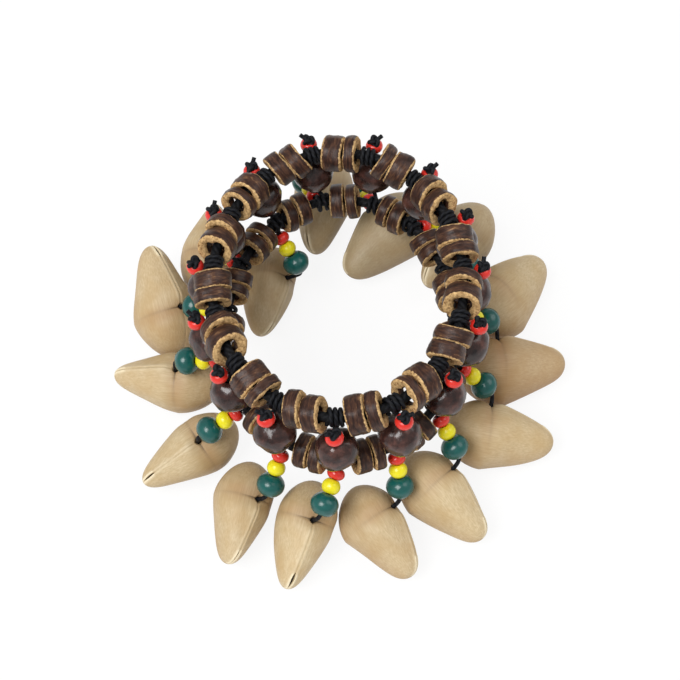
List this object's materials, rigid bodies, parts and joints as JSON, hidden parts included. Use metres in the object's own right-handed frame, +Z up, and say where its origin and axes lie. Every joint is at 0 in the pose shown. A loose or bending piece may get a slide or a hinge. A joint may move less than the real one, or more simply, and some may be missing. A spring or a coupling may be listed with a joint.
{
  "type": "nutshell shaker bracelet",
  "caption": "Hand percussion bracelet: two elastic loops of coconut discs and dark beads, with hollow nutshells hanging on short bead strands that rattle when shaken.",
  "frame": {"origin": "on the table under the middle of the wrist opening", "axes": "+Z up along the wrist opening, -Y towards the front of the picture"},
  "size_m": [0.1176, 0.1237, 0.0496],
  "materials": {
    "elastic": "matt black covered elastic",
    "cord": "matt black waxed cord",
    "coconut_disc": "dark polished bark with pale fibrous cut faces",
    "dark_bead": "dark brown gloss",
    "red_bead": "gloss red paint",
    "painted_beads": "gloss paint, red, yellow and green",
    "nutshell": "dry satin nutshell"
  },
  "bodies": {
    "band": {"upper_elastic": "elastic", "lower_elastic": "elastic", "upper_discs": "coconut_disc", "lower_discs": "coconut_disc", "round_beads": "dark_bead", "top_beads": "red_bead", "strand_cords": "cord"},
    "drop_01": {"drop_cord_01": "cord", "drop_beads_01": "painted_beads"},
    "shell_01": {"shell_01": "nutshell"},
    "drop_02": {"drop_cord_02": "cord", "drop_beads_02": "painted_beads"},
    "shell_02": {"shell_02": "nutshell"},
    "drop_03": {"drop_cord_03": "cord", "drop_beads_03": "painted_beads"},
    "shell_03": {"shell_03": "nutshell"},
    "drop_04": {"drop_cord_04": "cord", "drop_beads_04": "painted_beads"},
    "shell_04": {"shell_04": "nutshell"},
    "drop_05": {"drop_cord_05": "cord", "drop_beads_05": "painted_beads"},
    "shell_05": {"shell_05": "nutshell"},
    "drop_06": {"drop_cord_06": "cord", "drop_beads_06": "painted_beads"},
    "shell_06": {"shell_06": "nutshell"},
    "drop_07": {"drop_cord_07": "cord", "drop_beads_07": "painted_beads"},
    "shell_07": {"shell_07": "nutshell"},
    "drop_08": {"drop_cord_08": "cord", "drop_beads_08": "painted_beads"},
    "shell_08": {"shell_08": "nutshell"},
    "drop_09": {"drop_cord_09": "cord", "drop_beads_09": "painted_beads"},
    "shell_09": {"shell_09": "nutshell"},
    "drop_10": {"drop_cord_10": "cord", "drop_beads_10": "painted_beads"},
    "shell_10": {"shell_10": "nutshell"},
    "drop_11": {"drop_cord_11": "cord", "drop_beads_11": "painted_beads"},
    "shell_11": {"shell_11": "nutshell"},
    "drop_12": {"drop_cord_12": "cord", "drop_beads_12": "painted_beads"},
    "shell_12": {"shell_12": "nutshell"},
    "drop_13": {"drop_cord_13": "cord", "drop_beads_13": "painted_beads"},
    "shell_13": {"shell_13": "nutshell"},
    "drop_14": {"drop_cord_14": "cord", "drop_beads_14": "painted_beads"},
    "shell_14": {"shell_14": "nutshell"},
    "drop_15": {"drop_cord_15": "cord", "drop_beads_15": "painted_beads"},
    "shell_15": {"shell_15": "nutshell"}
  },
  "joints": [
    {"name": "swing_01", "type": "hinge", "parent": "band", "child": "drop_01", "pos_m": [0.00031, -0.03879, 0.026], "axis": [0.9995, -0.0304, 0], "range_deg": [-20, 3]},
    {"name": "rock_01", "type": "hinge", "parent": "drop_01", "child": "shell_01", "pos_m": [-0.00589, -0.05073, 0.01563], "axis": [0.9205, -0.3907, 0], "range_deg": [-15, 4]},
    {"name": "swing_02", "type": "hinge", "parent": "band", "child": "drop_02", "pos_m": [0.01341, -0.03524, 0.026], "axis": [0.8545, 0.5195, 0], "range_deg": [-24, 1]},
    {"name": "rock_02", "type": "hinge", "parent": "drop_02", "child": "shell_02", "pos_m": [0.01372, -0.04571, 0.01217], "axis": [0.9816, 0.1908, 0], "range_deg": [-15, 6]},
    {"name": "swing_03", "type": "hinge", "parent": "band", "child": "drop_03", "pos_m": [0.02317, -0.02563, 0.026], "axis": [0.5478, 0.8366, 0], "range_deg": [-20, 3]},
    {"name": "rock_03", "type": "hinge", "parent": "drop_03", "child": "shell_03", "pos_m": [0.0285, -0.0364, 0.01362], "axis": [0.809, 0.5878, 0], "range_deg": [-15, 8]},
    {"name": "swing_04", "type": "hinge", "parent": "band", "child": "drop_04", "pos_m": [0.02859, -0.01297, 0.026], "axis": [0.2373, 0.9714, 0], "range_deg": [-24, 6]},
    {"name": "rock_04", "type": "hinge", "parent": "drop_04", "child": "shell_04", "pos_m": [0.03888, -0.01867, 0.0132], "axis": [0.2756, 0.9613, 0], "range_deg": [-15, 6]},
    {"name": "swing_05", "type": "hinge", "parent": "band", "child": "drop_05", "pos_m": [0.02982, 0.00077, 0.026], "axis": [-0.0589, 0.9983, 0], "range_deg": [-20, 6]},
    {"name": "rock_05", "type": "hinge", "parent": "drop_05", "child": "shell_05", "pos_m": [0.04136, 0.0003, 0.01336], "axis": [-0.2756, 0.9613, 0], "range_deg": [-15, 6]},
    {"name": "swing_06", "type": "hinge", "parent": "band", "child": "drop_06", "pos_m": [0.02694, 0.01425, 0.026], "axis": [-0.3592, 0.9333, 0], "range_deg": [-24, 6]},
    {"name": "rock_06", "type": "hinge", "parent": "drop_06", "child": "shell_06", "pos_m": [0.03811, 0.01905, 0.01362], "axis": [-0.6428, 0.766, 0], "range_deg": [-15, 6]},
    {"name": "swing_07", "type": "hinge", "parent": "band", "child": "drop_07", "pos_m": [0.01978, 0.02599, 0.026], "axis": [-0.6753, 0.7376, 0], "range_deg": [-20, 2]},
    {"name": "rock_07", "type": "hinge", "parent": "drop_07", "child": "shell_07", "pos_m": [0.0313, 0.03465, 0.0162], "axis": [-0.6428, 0.766, 0], "range_deg": [-15, 2]},
    {"name": "swing_08", "type": "hinge", "parent": "band", "child": "drop_08", "pos_m": [0.00843, 0.03356, 0.026], "axis": [-0.9467, 0.322, 0], "range_deg": [-24, 5]},
    {"name": "rock_08", "type": "hinge", "parent": "drop_08", "child": "shell_08", "pos_m": [0.00963, 0.04141, 0.01272], "axis": [-0.9511, -0.309, 0], "range_deg": [-15, 6]},
    {"name": "swing_09", "type": "hinge", "parent": "band", "child": "drop_09", "pos_m": [-0.00511, 0.03397, 0.026], "axis": [-0.9638, -0.2667, 0], "range_deg": [-18, 8]},
    {"name": "rock_09", "type": "hinge", "parent": "drop_09", "child": "shell_09", "pos_m": [-0.00809, 0.04757, 0.0162], "axis": [-0.9272, -0.3746, 0], "range_deg": [-15, 8]},
    {"name": "swing_10", "type": "hinge", "parent": "band", "child": "drop_10", "pos_m": [-0.01682, 0.02698, 0.026], "axis": [0.7068, 0.7074, 0], "range_deg": [-12, 2]},
    {"name": "rock_10", "type": "hinge", "parent": "drop_10", "child": "shell_10", "pos_m": [-0.01333, 0.01964, 0.0119], "axis": [0.7431, 0.6691, 0], "range_deg": [-15, 4]},
    {"name": "swing_11", "type": "hinge", "parent": "band", "child": "drop_11", "pos_m": [-0.02442, 0.01553, 0.026], "axis": [-0.3902, -0.9207, 0], "range_deg": [-3, 1]},
    {"name": "rock_11", "type": "hinge", "parent": "drop_11", "child": "shell_11", "pos_m": [-0.0335, 0.02604, 0.01572], "axis": [-0.809, -0.5878, 0], "range_deg": [-15, 5]},
    {"name": "swing_12", "type": "hinge", "parent": "band", "child": "drop_12", "pos_m": [-0.02772, 0.00215, 0.026], "axis": [-0.0884, -0.9961, 0], "range_deg": [-16, 1]},
    {"name": "rock_12", "type": "hinge", "parent": "drop_12", "child": "shell_12", "pos_m": [-0.04077, 0.00816, 0.01679], "axis": [-0.4695, -0.8829, 0], "range_deg": [-15, 4]},
    {"name": "swing_13", "type": "hinge", "parent": "band", "child": "drop_13", "pos_m": [-0.0269, -0.01162, 0.026], "axis": [0.2073, -0.9783, 0], "range_deg": [-12, 3]},
    {"name": "rock_13", "type": "hinge", "parent": "drop_13", "child": "shell_13", "pos_m": [-0.04127, -0.0102, 0.01699], "axis": [-0.1392, -0.9903, 0], "range_deg": [-15, 6]},
    {"name": "swing_14", "type": "hinge", "parent": "band", "child": "drop_14", "pos_m": [-0.0219, -0.02446, 0.026], "axis": [0.516, -0.8566, 0], "range_deg": [-20, 4]},
    {"name": "rock_14", "type": "hinge", "parent": "drop_14", "child": "shell_14", "pos_m": [-0.03481, -0.0299, 0.01613], "axis": [0.4384, -0.8988, 0], "range_deg": [-15, 8]},
    {"name": "swing_15", "type": "hinge", "parent": "band", "child": "drop_15", "pos_m": [-0.01257, -0.03449, 0.026], "axis": [0.8269, -0.5623, 0], "range_deg": [-24, 4]},
    {"name": "rock_15", "type": "hinge", "parent": "drop_15", "child": "shell_15", "pos_m": [-0.01948, -0.04434, 0.01336], "axis": [0.9135, -0.4067, 0], "range_deg": [-15, 6]}
  ]
}
